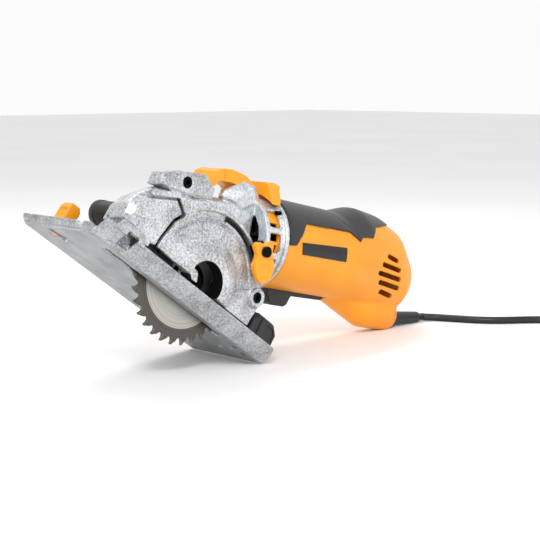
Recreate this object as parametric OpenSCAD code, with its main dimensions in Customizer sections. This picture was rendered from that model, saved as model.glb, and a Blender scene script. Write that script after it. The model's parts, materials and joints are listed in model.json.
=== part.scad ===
// Track plunge saw with an inline motor barrel, lying on its sole plate and barrel heel.
// +X runs from the blade to the cord, +Y away from the guard cover, +Z up; millimetres.

/* [Blade and arbor] */
// Diameter of the saw blade over the teeth
blade_d = 85; // [80:1:89]
// Thickness of the blade body
blade_t = 1.6; // [1.2:0.1:2]
// Number of teeth
teeth = 30; // [20:1:40]
// Diameter of the arbor shaft
arbor_d = 10; // [8:0.5:12]
// Diameter of the two blade flanges
flange_d = 25; // [22:1:25]

/* [Sole plate] */
// Arbor axis to the front edge of the sole
plate_front = 91; // [86:1:100]
// Arbor axis to the rear edge of the sole
plate_rear = 84; // [80:1:100]
// Blade plane to the near edge of the sole
plate_near = 10; // [9:0.5:11]
// Blade plane to the far edge of the sole
plate_far = 63.5; // [60:0.5:75]
// Thickness of the plate
plate_t = 3; // [2.5:0.1:3.5]
// Arbor axis to the sole face when fully plunged
sole_drop = 16.2; // [15.5:0.1:17]
// Height of the flared near skirt above the sole
skirt_h = 11.7; // [11:0.1:12.5]
// Width of the blade slot
slot_w = 6; // [4:0.5:8]

/* [Plunge hinge] */
// Hinge ahead of the arbor axis
hinge_u = 64; // [62:0.5:66]
// Hinge below the arbor axis
hinge_drop = 8; // [7.5:0.5:9]
// Diameter of the hinge pin
pin_d = 4; // [3:0.5:5]
// Distance between the outer faces of the hinge ears
ear_span = 36.2; // [35:0.2:42]

/* [Blade guard] */
// Outer radius of the round guard rim
guard_r = 51; // [50:0.5:52]
// Wall of the guard castings
guard_t = 2.8; // [2.2:0.1:3.5]
// Blade plane to the near face of the guard cover
cover_y = 17.6; // [17:0.1:19]
// Blade plane to the guard's far face
guard_far = 11; // [10.5:0.1:13]
// Radius of the bolt access hole
access_r = 14.5; // [14:0.1:16]

/* [Gear case and barrel] */
// Angle between the sole and the barrel axis
head_a = 23.1; // [21:0.1:25]
// Barrel axis beyond the blade plane
barrel_y = 24; // [23:0.5:27]
// Barrel axis above the arbor axis
barrel_z = 34.5; // [33:0.5:37]
// Outer diameter of the motor barrel
barrel_d = 63; // [60:1:66]
// Wall of the plastic shells
shell_t = 2.5; // [2:0.1:3]
// Thickness of the soft grip skin
grip_t = 1.3; // [1:0.1:1.8]
// Far face of the gear case
case_far = 45; // [44:0.5:50]
// Front end of the motor barrel along its axis
barrel_x = 80; // [78:1:84]

/* [Motor] */
// Diameter of the armature
armature_d = 33; // [28:1:34]
// Outer diameter of the stator
stator_d = 48; // [44:1:49]
// Length of the stator stack
stack_l = 38; // [30:1:42]
// Diameter of the motor shaft
motor_shaft_d = 8; // [6:0.5:9]

/* [Cord] */
// Diameter of the mains cord
cord_d = 5.6; // [5:0.1:6.5]
// Diameter of the cord coil at the middle of its turns
coil_d = 64; // [56:1:68]

/* [Hidden] */
$fn = 96;
running = 0.05;              // radial clearance of a shaft in its bore
gap = 0.4;                   // clearance between pieces on different bodies
pin_r = pin_d / 2;
arbor_r = arbor_d / 2;
blade_r = blade_d / 2;
barrel_r = barrel_d / 2;
hinge_at = [-hinge_u, -hinge_drop];
top_w = plate_t - sole_drop; // upper face of the plate, from the arbor axis
skirt_w = skirt_h - sole_drop;
skirt_lean = 9;              // how far the skirt flares outwards
ear_near = -11;              // near face of the near hinge ear
ear_far = ear_near + ear_span;
ear_t = 3;
heel = [216, 2];             // centre of the barrel heel that rests on the floor
heel_r = 16;
heel_end = [222.5, -1.5];    // tighter rounding behind the heel
heel_end_r = 11;

// The saw rests on the sole's rear edge and on the heel, so both touch z = 0.
heel_u = heel.x * cos(head_a) - heel.y * sin(head_a);
heel_w = heel.x * sin(head_a) + heel.y * cos(head_a);
rest_du = plate_rear - heel_u;
rest_dw = -sole_drop - heel_w;
rest_l = norm([rest_du, rest_dw]);
pitch = atan2(rest_dw, rest_du) + 180 - asin(heel_r / rest_l);
barrel_pitch = pitch - head_a;
floor_h = plate_rear * sin(pitch) + sole_drop * cos(pitch);
arbor_x = -89;               // places the saw's box centre on the origin
arbor_y = -17.25;

// Gear train: motor pinion, bevel wheel, spur pinion, idler, spur gear.
pinion_r = 4.6;
bevel_r = 18;
mesh_gap = 0.2;              // the tips of neighbouring gears run this far apart
spur_gear_r = 9.8;
spur_pinion_r = 8;
idler_r = (barrel_z - spur_gear_r - spur_pinion_r) / 2 - mesh_gap;
idler_at = [0, spur_gear_r + mesh_gap + idler_r];
spur_y = 28;
spur_w = 6;
bearing_r = 10.2;
bearing_w = 6;
foot_r = sole_drop - plate_t - gap; // the gear case clears the plate around the arbor
motor_front = 94;            // front face of the stator along the barrel
fan_r = 25;                  // stays clear of the pressed trigger
comm_x = motor_front + stack_l + 6;
rear_bearing_x = comm_x + 18;

cord_r = cord_d / 2;
relief_l = 35;
relief_drop = 4.8;           // the strain relief points this far below level
relief_at = [231, -4];
relief_x = arbor_x + relief_at.x * cos(barrel_pitch) + relief_at.y * sin(barrel_pitch);
relief_z = floor_h - relief_at.x * sin(barrel_pitch) + relief_at.y * cos(barrel_pitch);
relief_y = arbor_y + barrel_y;
coil_turns_wide = 3;
coil_turns_high = 3;
coil_at = [280, -110];
// Lead from the strain relief to the coil: round numbers, height over the floor.
LEAD = [
  [177, 5, 3.2], [183, -1, 2.9], [188, -10, 2.8], [193, -20, 2.8], [199, -31, 2.8],
  [207, -41, 2.8], [217, -49, 2.8], [227, -56, 2.8], [236, -64, 2.8], [242, -75, 2.8],
  [243, -87, 2.8], [242.6, -99, 2.8]
];

// ---------- frames and shared shapes ----------

// Frame of the sole plate: x to the rear, z away from the sole, arbor axis at 0.
module in_plate() {
  translate([arbor_x, arbor_y, floor_h]) rotate([0, pitch, 0]) children();
}

// Frame of the barrel: x along the barrel, arbor axis at 0.
module in_head() {
  in_plate() rotate([0, -head_a, 0]) children();
}

// Extrudes an x-z outline across the saw, from y0 to y1.
module across(y0, y1) {
  translate([0, y1, 0]) rotate([90, 0, 0]) linear_extrude(y1 - y0) children();
}

// Extrudes a y-z outline along the saw, from x0 to x1.
module along(x0, x1) {
  translate([x0, 0, 0]) rotate([90, 0, 90]) linear_extrude(x1 - x0) children();
}

// A cylinder across the saw.
module drum(r, y0, y1, at = [0, 0]) {
  translate([at.x, y0, at.y]) rotate([-90, 0, 0]) cylinder(h = y1 - y0, r = r);
}

// A cylinder on the barrel axis.
module rod(r, x0, x1) {
  translate([x0, barrel_y, barrel_z]) rotate([0, 90, 0]) cylinder(h = x1 - x0, r = r);
}

// A tube across the saw.
module tube(r_out, r_in, y0, y1, at = [0, 0]) {
  difference() {
    drum(r_out, y0, y1, at);
    drum(r_in, y0 - 1, y1 + 1, at);
  }
}

// A tube on the barrel axis.
module sleeve(r_out, r_in, x0, x1) {
  difference() {
    rod(r_out, x0, x1);
    rod(r_in, x0 - 1, x1 + 1);
  }
}

// A box from its low corner to its high corner.
module block(low, high) {
  translate(low) cube(high - low);
}

// A closely wound coil spring across the saw, as one ribbed sleeve.
module ring_spring(r, wire_r, y0, turns, at) {
  translate([at.x, y0, at.y]) rotate([-90, 0, 0]) rotate_extrude() {
    for (i = [0 : turns - 1])
      translate([r, wire_r * (1 + 1.9 * i)]) circle(r = wire_r, $fn = 24);
    translate([r - wire_r / 3, wire_r])
      square([wire_r / 1.5, 1.9 * wire_r * (turns - 1)]);
  }
}

// Outline of a toothed disc: tooth count, root radius and tip radius.
function toothed(n, root, tip) = [
  for (i = [0 : n - 1]) each [
    root * [cos(360 * i / n), sin(360 * i / n)],
    tip * [cos(360 * (i + 0.2) / n), sin(360 * (i + 0.2) / n)],
    tip * [cos(360 * (i + 0.5) / n), sin(360 * (i + 0.5) / n)],
    root * [cos(360 * (i + 0.7) / n), sin(360 * (i + 0.7) / n)]
  ]
];

// ---------- sole plate ----------

module skirt_outline() {
  polygon([
    [-plate_near, -sole_drop], [-plate_near - skirt_lean, skirt_w],
    [-plate_near - skirt_lean + 2.6, skirt_w], [-plate_near + 2.2, top_w]
  ]);
}

module base_plate() {
  color("#a9abac") in_plate() difference() {
    union() {
      block([-plate_front + 5, -plate_near, -sole_drop], [plate_rear, plate_far, top_w]);
      // Rounded front lip, turned upwards.
      intersection() {
        tube_lip();
        block([-plate_front - 1, -plate_near, -sole_drop - 1],
              [-plate_front + 5, plate_far, -sole_drop + 8]);
      }
      along(-plate_front + 5, plate_rear) skirt_outline();
      // Raised bracket of the hinge window.
      across(-plate_near - skirt_lean - 0.2, -plate_near - skirt_lean + 2.1)
        polygon([[-79, skirt_w - 2], [-76, 1], [-58, 1], [-52, skirt_w - 2]]);
      hinge_ear(ear_near, ear_near + ear_t);
      hinge_ear(ear_far - ear_t, ear_far);
    }
    // Blade slot.
    block([-66, -slot_w / 2, -sole_drop - 1], [47, slot_w / 2, top_w + 1]);
    // Guide slot near the front and two small rear holes.
    block([-83, 36, -sole_drop - 1], [-66, 41, top_w + 1]);
    translate([66, 6, -sole_drop - 1]) cylinder(h = plate_t + 2, r = 1.8);
    translate([66, 16, -sole_drop - 1]) cylinder(h = plate_t + 2, r = 1.8);
    // Threaded hole of the guide knob.
    translate([knob_at.x, knob_at.y, -sole_drop - 1])
      cylinder(h = plate_t + 2, r = knob_stem_r + running);
    // Window in the skirt in front of the hinge pin.
    block([-69, -21, -12.5], [-59, ear_near - 0.2, -3.5]);
    drum(pin_r + running, ear_near - 1, ear_far + 1, hinge_at);
    // Clearance of the stop block screws.
    for (at = block_screw_at)
      translate([at.x, at.y, -sole_drop - 1]) cylinder(h = plate_t + 2, r = 2.1);
    // Notch in the front lip.
    block([-plate_front - 1, -2, -sole_drop + 3.5], [-plate_front + 3, 4, -sole_drop + 9]);
  }
}

module tube_lip() {
  difference() {
    drum(8, -plate_near, plate_far, [-plate_front + 8, -sole_drop + 8]);
    drum(8 - plate_t, -plate_near - 1, plate_far + 1, [-plate_front + 8, -sole_drop + 8]);
  }
}

module hinge_ear(y0, y1) {
  drum(5.5, y0, y1, hinge_at);
  across(y0, y1)
    polygon([
      [-hinge_u - 8, top_w - 0.5], [-hinge_u - 5.4, -hinge_drop],
      [-hinge_u + 5.4, -hinge_drop], [-hinge_u + 8, top_w - 0.5]
    ]);
}

module hinge_pin() {
  color("#8f9296") in_plate() drum(pin_r, ear_near, ear_far, hinge_at);
}

module hinge_spring() {
  color("#5c5f63") in_plate() {
    ring_spring(pin_r + 1.2, 0.8, lug_far + 0.4, 4, hinge_at);
    // Leg that bears on the plate.
    translate([-hinge_u + pin_r + 1.2, lug_far + 1.2, top_w])
      cylinder(h = -hinge_drop - top_w, r = 0.8, $fn = 24);
  }
}

// Thin wings that stay beside the blade when the head rises: ahead of the flange's
// path and behind it, on both sides, each with a foot on the plate.
wing_u = [[-blade_r, -flange_d / 2 - 7], [flange_d / 2 + 2, blade_r]];
wing_y = [[-7.4, -6.2, -4.4], [5.4, 6.4, 7.6]]; // two wall faces and the foot's edge

module inner_guard() {
  color("#85888c") in_plate()
    for (u = wing_u, y = wing_y) {
      across(y[0], y[1]) intersection() {
        circle(r = blade_r + 1);
        translate([-hinge_u, -hinge_drop]) circle(r = hinge_u + 40.5);
        translate([u[0], top_w]) square([u[1] - u[0], 33]);
      }
      block([max(u[0], -38), y[0], top_w], [min(u[1], 38), y[2], top_w + 1.2]);
    }
}

block_u = [53.2, 79];
block_y = [-plate_near - 7, 4];
block_screw_at = [[62, -2], [72, -2]];

module rear_stop_block() {
  color("#1b1b1d") in_plate() difference() {
    union() {
      across(-plate_near + 2.4, block_y[1])
        polygon([
          [block_u[0], top_w], [block_u[0], 6], [block_u[0] + 5, 11],
          [block_u[1] - 6, 11], [block_u[1], 5], [block_u[1], top_w]
        ]);
      across(block_y[0], -plate_near + 2.4)
        polygon([
          [block_u[0], skirt_w + 0.1], [block_u[0], 5], [block_u[0] + 5, 10],
          [block_u[1] - 6, 10], [block_u[1], 4], [block_u[1], skirt_w + 0.1]
        ]);
    }
    for (at = block_screw_at)
      translate([at.x, at.y, top_w - 1]) cylinder(h = 10, r = 1.9);
  }
}

module block_screws() {
  color("#2a2b2e") in_plate()
    for (at = block_screw_at) {
      translate([at.x, at.y, -sole_drop + 0.3]) cylinder(h = 11, r = 1.85);
    }
}

knob_at = [-75, 36 + 8];
knob_stem_r = 2.5;

module guide_knob() {
  color("#f6a01e") in_plate() translate([knob_at.x, knob_at.y, 0]) {
    translate([0, 0, top_w + gap]) cylinder(h = 5, r = 7.5);
    translate([0, 0, top_w + gap + 5]) difference() {
      translate([-4.5, -8, 0]) cube([9, 16, 9]);
      translate([4.5, -9, 6]) rotate([0, -25, 0]) cube([6, 18, 8]);
    }
    translate([0, 0, -sole_drop + 0.5]) cylinder(h = plate_t + 2, r = knob_stem_r);
  }
}

// ---------- blade guard ----------

lug_far = 15;
lug_r = sole_drop - plate_t - hinge_drop - gap;

module hood_outline(t = 0) {
  polygon([
    [-75 + t, -3.5], [-75.5 + t, 13], [-71.5 + t, 22 - t / 2], [-64 + t, 31 - t],
    [-52 + t / 2, 40 - t], [-40, 47 - t], [-20, 20], [-40, -3.5]
  ]);
}

module guard_outline(t = 0) {
  circle(r = guard_r - t);
  hood_outline(t);
}

module slit_region() {
  // Everything to the rear of the joint line between hood and cover.
  polygon([
    [-90, 22.2], [-66, 22.2], [-46.2, 32.6], [-38, 27.6], [-42.2, 21.2], [-45.2, 6],
    [-45.6, -20], [80, -20], [80, 90], [-90, 90]
  ]);
}

module guard_body() {
  color("#c5c6c9") in_plate() difference() {
    union() {
      difference() {
        across(-cover_y + 1.1, guard_far) guard_outline();
        across(-cover_y + 1.1 + guard_t, guard_far - guard_t) guard_outline(guard_t);
        // Window that the cover closes.
        across(-cover_y, -cover_y + 1.1 + guard_t) slit_region();
        // Room for the skirt and the sole below the guard.
        across(-cover_y, guard_far - guard_t) translate([-90, -60]) square([180, 56.5]);
        across(guard_far - guard_t - 1, guard_far + 1)
          translate([-90, -60]) square([180, 49]);
        across(-cover_y, guard_far + 1) translate([-90, -60]) square([26, 61.5]);
        // Seat of the cover's half of the clamp block.
        across(-cover_y, -5.8) clamp_block_outline();
      }
      // Rear half of the clamp block above the rim.
      across(-5.8, guard_far) clamp_block_outline();
      // Hinge lug and its web.
      drum(lug_r, ear_near + ear_t + gap, lug_far, hinge_at);
      across(guard_far - guard_t, guard_far)
        polygon([[-64, -10.5], [-68, -6.5], [-66, 4], [-40, 4], [-40, -10.5]]);
      across(ear_near + ear_t + gap, guard_far)
        polygon([[-67, -5], [-69, 3.4], [-60, 3.4], [-61, -5]]);
      // Bosses of the two cover screws.
      drum(5, -cover_y + guard_t + 0.2, guard_far, screw_low);
    }
    drum(pin_r + running, -20, 30, hinge_at);
    drum(arbor_r + 4.5, 5, 20);
    drum(port_r + 0.02, 5, 20, port_at);
    for (at = [screw_low, screw_high]) drum(1.6, -16, 3, at);
  }
}

module clamp_block_outline() {
  polygon([
    [-66, 32], [-67, 40], [-57, 48], [-36, 58.5], [-25, 55], [-23, 48], [-31, 43.2],
    [-45, 37]
  ]);
}

screw_high = [-48, 45];
screw_low = [46, 15.5];
access_lip = 3.2;

// Round rim line of the cover from its rear ear over the top to the clamp block.
function rim_arc(r, a0, a1, n) = [
  for (i = [0 : n]) r * [cos(a0 + (a1 - a0) * i / n), sin(a0 + (a1 - a0) * i / n)]
];

module cover_outline() {
  polygon(concat(
    [[-44, -3.4], [51, -3.4], [52.5, 11], [49, 20.5], [43.5, 25.5]],
    rim_arc(47.5, 36, 114, 26),
    [[-29, 50], [-36, 44], [-45, 38], [-66, 29], [-66, 24.2], [-46, 34.4],
     [-35.8, 28], [-40.4, 20.6], [-43.6, 6]]
  ));
}

module guard_cover() {
  color("#c9cacd") in_plate() difference() {
    union() {
      across(-cover_y, -cover_y + guard_t) cover_outline();
      // Inner stiffening ring around the access hole.
      tube(36.5, 33.5, -cover_y - 0.8, -cover_y + 1);
      // Front half of the clamp block.
      across(-cover_y - 1.5, -6) clamp_block_outline();
      drum(6.2, -cover_y - 1.5, -cover_y + guard_t, screw_low);
    }
    // Access to the blade bolt, open above the cover's stepped lower lip.
    intersection() {
      drum(access_r, -cover_y - 3, 0);
      across(-cover_y - 3, 0) union() {
        translate([-8, -access_lip]) square(2 * access_r);
        translate([-access_r, access_lip]) square(2 * access_r);
      }
    }
    across(-cover_y - 3, 0) translate([-90, -60]) square([180, 56.6]);
    for (at = [screw_low, screw_high]) {
      drum(1.9, -cover_y - 3, 0, at);
      drum(3.6, -cover_y - 3, -cover_y + 1, at);
    }
  }
}

module cover_screws() {
  color("#1d1d1f") in_plate()
    for (at = [screw_low, screw_high]) difference() {
      union() {
        drum(3.4, -cover_y - 1.4, -cover_y + 0.95, at);
        drum(1.55, -cover_y + 0.9, 2.5, at);
      }
      translate([at.x, -cover_y - 2, at.y]) rotate([-90, 0, 0])
        cylinder(h = 2.6, r = 1.7, $fn = 6);
    }
}

port_at = [-53, 14];
port_r = 8.5;
port_end = 44;

module dust_port() {
  color("#1f2023") in_plate() difference() {
    union() {
      drum(port_r, guard_far - guard_t + 0.2, port_end, port_at);
      for (y = [guard_far + 0.6 : 4 : port_end - 4])
        tube(port_r + 0.8, port_r - 1, y, y + 1.8, port_at);
    }
    drum(port_r - 1.8, 0, port_end + 1, port_at);
  }
}

// ---------- gear case ----------

neck_r = 24;
bell_x = 60;
bell_r = barrel_r - 1.5;

// Outside of the gear case, or its cavity when t is the wall.
module case_form(t = 0) {
  near = guard_far + t;
  drum(foot_r - t, near, case_far - t);
  drum(neck_r - t, near, case_far - t, [0, barrel_z]);
  across(near, case_far - t)
    polygon([[-foot_r + t, 0], [foot_r - t, 0], [neck_r - t, barrel_z],
             [-neck_r + t, barrel_z]]);
  intersection() {
    rod(neck_r - t, 0, bell_x + t + 0.01);
    block([-1, near, -60], [bell_x + 10, case_far + 30, 120]);
  }
}

module gear_case() {
  color("#cfd1d4") in_head() difference() {
    union() {
      difference() {
        case_form();
        case_form(shell_t);
      }
      // Bell around the vents and the flange that meets the barrel.
      difference() {
        union() {
          rod(bell_r, bell_x, barrel_x - 3.5);
          rod(barrel_r + 1, barrel_x - 3.5, barrel_x);
        }
        rod(bell_r - shell_t, bell_x + shell_t, barrel_x + 1);
        rod(neck_r - shell_t, bell_x - 1, bell_x + 4);
      }
      // Webs that carry the bearings.
      difference() {
        rod(neck_r - 1, bell_x - 6, bell_x);
        block([0, -60, -60], [barrel_x, guard_far, 120]);
      }
      drum(foot_r, guard_far + 1, guard_far + 1 + bearing_w + 1.5);
      drum(foot_r, case_far - 1 - bearing_w - 1.5, case_far - 1);
      // Ears of the plunge release.
      for (y = [release_y[0] - 2.6, release_y[1] + 0.5])
        across(y, y + 2.1) polygon([[44, 44], [50, 68], [54, 70], [58, 68], [60, 44]]);
    }
    // Bores of the arbor, the countershaft and the motor shaft.
    drum(bearing_r, guard_far + shell_t, guard_far + shell_t + bearing_w);
    drum(arbor_r + 2, guard_far - 1, guard_far + 12);
    drum(bearing_r, case_far - shell_t - bearing_w, case_far - shell_t);
    drum(7, guard_far - 1, guard_far + shell_t + 1, [0, barrel_z]);
    drum(idler_pin_r, case_far - shell_t - 0.5, case_far + 1, idler_at);
    rod(bearing_r, bell_x - 7, bell_x + 1);
    // Plunger hole of the spindle lock.
    drum(lock_stem_r + running, case_far - 8, case_far + 1, lock_at);
    drum(1.5 + running, -20, 60, release_pin_at);
    // Vent windows on the near side and the far side.
    for (a = [-34, 0, 34], side = [0, 180])
      translate([bell_x + 4, barrel_y, barrel_z]) rotate([a + side, 0, 0])
        translate([0, -barrel_r - 4, -6.5]) cube([10, 12, 13]);
    for (at = case_screw_at) translate([barrel_x - 12, at.x, at.y]) rotate([0, 90, 0])
      cylinder(h = 20, r = 1.6);
  }
}

case_screw_at = [
  for (a = [45, 135, 225, 315])
    [barrel_y + (barrel_r - 1.6) * cos(a), barrel_z + (barrel_r - 1.6) * sin(a)]
];

module case_screws() {
  color("#2a2b2e") in_head()
    for (at = case_screw_at)
      translate([barrel_x - 7, at.x, at.y]) rotate([0, 90, 0]) cylinder(h = 7, r = 1.55);
}

idler_pin_r = 2.5;

module idler_pin() {
  color("#8f9296") in_head() drum(idler_pin_r, spur_y - 2, case_far, idler_at);
}

module gear_case_baffle() {
  color("#f19a1b") in_head() difference() {
    sleeve(bell_r - shell_t - 0.1, bell_r - shell_t - 1.7, bell_x + shell_t, barrel_x - 4);
    for (a = [-24, -8, 8, 24], side = [0, 180])
      translate([bell_x + 5, barrel_y, barrel_z]) rotate([a + side, 0, 0])
        translate([0, -barrel_r - 4, -2.6]) cube([8, 14, 5.2]);
  }
}

module shaft_bearings() {
  color("#b9bcc0") in_head() {
    tube(bearing_r, arbor_r + running, guard_far + shell_t, guard_far + shell_t + bearing_w);
    tube(bearing_r, arbor_r + running, case_far - shell_t - bearing_w, case_far - shell_t);
  }
}

module counter_bushes() {
  color("#b08d57") in_head() {
    tube(7, 4 + running, guard_far, guard_far + shell_t, [0, barrel_z]);
    tube(7, 4 + running, case_far - shell_t - 4, case_far - shell_t, [0, barrel_z]);
  }
}

// ---------- motor barrel ----------

// The barrel and its rear body, grown by t over the moulded surface.
module barrel_form(t = 0) {
  rod(barrel_r + t, barrel_x, 150);
  hull() {
    translate([150, barrel_y, barrel_z]) sphere(r = barrel_r + t, $fn = 32);
    translate([168, barrel_y, 44.6]) sphere(r = 27.4 + t, $fn = 32);
    translate([186, barrel_y, 43.5]) sphere(r = 27 + t, $fn = 32);
    translate([205, barrel_y, 37.5]) sphere(r = 28 + t, $fn = 32);
    translate([218, barrel_y, 27]) sphere(r = 26.5 + t, $fn = 32);
  }
  hull() {
    translate([150, barrel_y, 13]) sphere(r = 10 + t, $fn = 32);
    translate([197, barrel_y, heel.y]) sphere(r = heel_r + t, $fn = 32);
    translate([heel.x, barrel_y, heel.y]) rotate([90, 0, 0])
      cylinder(h = 14, r = heel_r + t, center = true, $fn = 96);
    translate([heel_end.x, barrel_y, heel_end.y]) rotate([90, 0, 0])
      cylinder(h = 12, r = heel_end_r + t, center = true, $fn = 96);
  }
}

module vent_slot(x0, x1, z) {
  block([x0, -20, z - 1.9], [x1, barrel_y - 12, z + 1.9]);
  block([x0, barrel_y + 12, z - 1.9], [x1, 70, z + 1.9]);
}

// Saddle that reaches forward over the gear case flange.
module collar() {
  intersection() {
    across(barrel_y - 30, barrel_y + 30)
      polygon([[70, 77.5], [78, 77], [85, 73], [89.5, 66], [88, 57], [83, 55.5], [73, 66]]);
    along(barrel_x - 12, barrel_x + 12) translate([barrel_y, 0])
      polygon([[-24, 57], [-21, 66], [-14, 75], [-10, 77.5],
               [10, 77.5], [14, 75], [21, 66], [24, 57]]);
  }
}

module housing_shell() {
  difference() {
    union() {
      difference() {
        barrel_form();
        barrel_form(-shell_t);
      }
      screw_posts();
    }
    screw_holes();
    rod(barrel_r - shell_t, barrel_x - 1, barrel_x + 20);
    // Slot for the trigger paddle.
    block([trigger_x[0] - 3, barrel_y - trigger_w / 2 - 0.7, -20],
          [trigger_x[1] + 3, barrel_y + trigger_w / 2 + 0.7, 9]);
    // Mouth of the strain relief.
    translate([relief_at.x - 8, barrel_y, relief_at.y]) rotate([0, 90, 0])
      cylinder(h = 20, r = 6.5);
    vent_slot(190, 204, 41);
    vent_slot(184, 209, 34.3);
    vent_slot(181, 212, 27.6);
    vent_slot(185, 213, 20.9);
    vent_slot(195, 208, 14.2);
    for (at = case_screw_at) translate([barrel_x - 2, at.x, at.y]) rotate([0, 90, 0])
      cylinder(h = 14, r = 1.6);
    drum(trigger_pin_r + running, 0, 60, trigger_hinge);
  }
}

// The collar clears the gear case and the inside of the barrel.
module seated_collar() {
  difference() {
    collar();
    rod(barrel_r + 1 + gap / 2, bell_x, barrel_x);
    rod(barrel_r - shell_t, barrel_x - 1, barrel_x + 20);
  }
}

module barrel_near() {
  color("#f6a01e") in_head() difference() {
    union() {
      housing_shell();
      seated_collar();
    }
    block([0, barrel_y, -60], [300, 120, 140]);
  }
}

module barrel_far() {
  color("#f6a01e") in_head() difference() {
    union() {
      housing_shell();
      seated_collar();
    }
    block([0, -60, -60], [300, barrel_y, 140]);
  }
}

module grip_region() {
  polygon([
    [barrel_x + 0.5, 35], [87, 35.5], [98, 52], [144, 53], [154, 47.5],
    [157, 51.4], [170, 52.4], [176, 61], [190, 64], [205, 66.5], [205, 90],
    [barrel_x + 0.5, 90]
  ]);
}

module grip_cover() {
  color("#2a2b30") in_head() intersection() {
    difference() {
      barrel_form(grip_t);
      barrel_form(0.02);
    }
    across(-30, 80) grip_region();
    // The skin ends at the collar.
    difference() {
      block([barrel_x, -40, 0], [220, 90, 100]);
      block([barrel_x - 1, barrel_y - 24.3, 55], [barrel_x + 10, barrel_y + 24.3, 90]);
    }
  }
}

module name_badge() {
  color("#161618") in_head() intersection() {
    sleeve(barrel_r + 0.6, barrel_r + 0.02, 93, 139);
    block([90, -20, 31], [142, barrel_y, 42]);
  }
}

// Screws that clamp the far shell to the near one: place and depth of the head.
housing_screw_at = [[206, 48, 21], [172, 34, 25], [190, 10, 17]];

module screw_posts() {
  intersection() {
    barrel_form();
    union() for (at = housing_screw_at) drum(4, -20, 70, [at.x, at.y]);
  }
}

module screw_holes() {
  for (at = housing_screw_at) {
    drum(1.6, barrel_y - 14, barrel_y + 40, [at.x, at.y]);
    drum(3.1, barrel_y + at.z - 2, barrel_y + 40, [at.x, at.y]);
  }
}

module housing_screws() {
  color("#2a2b2e") in_head()
    for (at = housing_screw_at) difference() {
      union() {
        drum(1.55, barrel_y - 12, barrel_y + at.z - 1, [at.x, at.y]);
        drum(3, barrel_y + at.z - 2, barrel_y + at.z, [at.x, at.y]);
      }
      translate([at.x, barrel_y + at.z - 1, at.y]) rotate([-90, 0, 0])
        cylinder(h = 3, r = 1.5, $fn = 6);
    }
}

module motor_end_plate() {
  color("#3a3b3f") in_head() difference() {
    sleeve(barrel_r - shell_t - 1, bearing_r, rear_bearing_x - 1, rear_bearing_x + 5);
    block([0, -60, -60], [300, 120, 9.5]);
    for (a = [45, 135, 225, 315])
      translate([rear_bearing_x - 2, barrel_y + 20 * cos(a), barrel_z + 20 * sin(a)])
        rotate([0, 90, 0]) cylinder(h = 10, r = 4);
  }
}

module motor_bearings() {
  color("#b9bcc0") in_head() {
    sleeve(bearing_r, motor_shaft_d / 2 + running, bell_x - 6, bell_x);
    sleeve(bearing_r, motor_shaft_d / 2 + running, rear_bearing_x - 1, rear_bearing_x + 5);
  }
}

module stator() {
  color("#77797d") in_head() {
    difference() {
      rod(stator_d / 2, motor_front, motor_front + stack_l);
      rod(armature_d / 2 + 0.7, motor_front - 1, motor_front + stack_l + 1);
    }
    // Ribs that seat the stack in the barrel.
    for (a = [0, 120, 240])
      translate([motor_front, barrel_y, barrel_z]) rotate([a, 0, 0])
        translate([0, -3, stator_d / 2 - 0.6])
          cube([stack_l, 6, barrel_r - shell_t - stator_d / 2 + 0.4]);
  }
}

brush_x = comm_x + 6;

module brush_holders() {
  color("#4a3a22") in_head()
    for (s = [-1, 1]) difference() {
      block([brush_x - 5, barrel_y + (s < 0 ? -28 : 10.2), barrel_z - 4.5],
            [brush_x + 5, barrel_y + (s < 0 ? -10.2 : 28), barrel_z + 4.5]);
      block([brush_x - 3, barrel_y + (s < 0 ? -30 : 9), barrel_z - 2.5],
            [brush_x + 3, barrel_y + (s < 0 ? -9 : 30), barrel_z + 2.5]);
    }
}

module brushes() {
  color("#222222") in_head()
    for (s = [-1, 1])
      block([brush_x - 2.9, barrel_y + (s < 0 ? -22 : 9.4), barrel_z - 2.4],
            [brush_x + 2.9, barrel_y + (s < 0 ? -9.4 : 22), barrel_z + 2.4]);
}

module switch_body() {
  color("#1d1d1f") in_head() {
    block([182, barrel_y - 10, 16], [204, barrel_y + 10, 32]);
    // Foot on the shell floor.
    block([196, barrel_y - 3, heel.y - heel_r + shell_t + 0.5],
          [203, barrel_y + 3, 16]);
  }
}

module cord_clamp() {
  color("#1d1d1f") in_head()
    difference() {
      block([213, barrel_y - 6, heel.y - heel_r + shell_t + 0.3],
            [219, barrel_y + 6, 5]);
      translate([205, barrel_y, relief_at.y]) rotate([0, 90, 0])
        cylinder(h = 20, r = cord_r + 0.1);
    }
}

// ---------- trigger, release and lock ----------

trigger_x = [90, 148];
trigger_w = 13;
trigger_hinge = [144, 6.2];
trigger_pin_r = 1.5;

module trigger() {
  color("#1b1b1d") in_head() difference() {
    across(barrel_y - trigger_w / 2, barrel_y + trigger_w / 2)
      polygon([
        [trigger_x[0], 6.4], [trigger_x[0] + 1, 0], [96, -7.5], [110, -7.5], [115, 0.8],
        [trigger_x[1] - 2, 1.2], [trigger_x[1], 3.5], [trigger_x[1], 8.6],
        [140, 8.6], [137, 6.4]
      ]);
    drum(trigger_pin_r + running, 0, 60, trigger_hinge);
  }
}

module trigger_pin() {
  color("#8f9296") in_head()
    drum(trigger_pin_r, barrel_y - 8.8, barrel_y + 8.8, trigger_hinge);
}

release_y = [13, 35];
release_pin_at = [54, 66];

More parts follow.
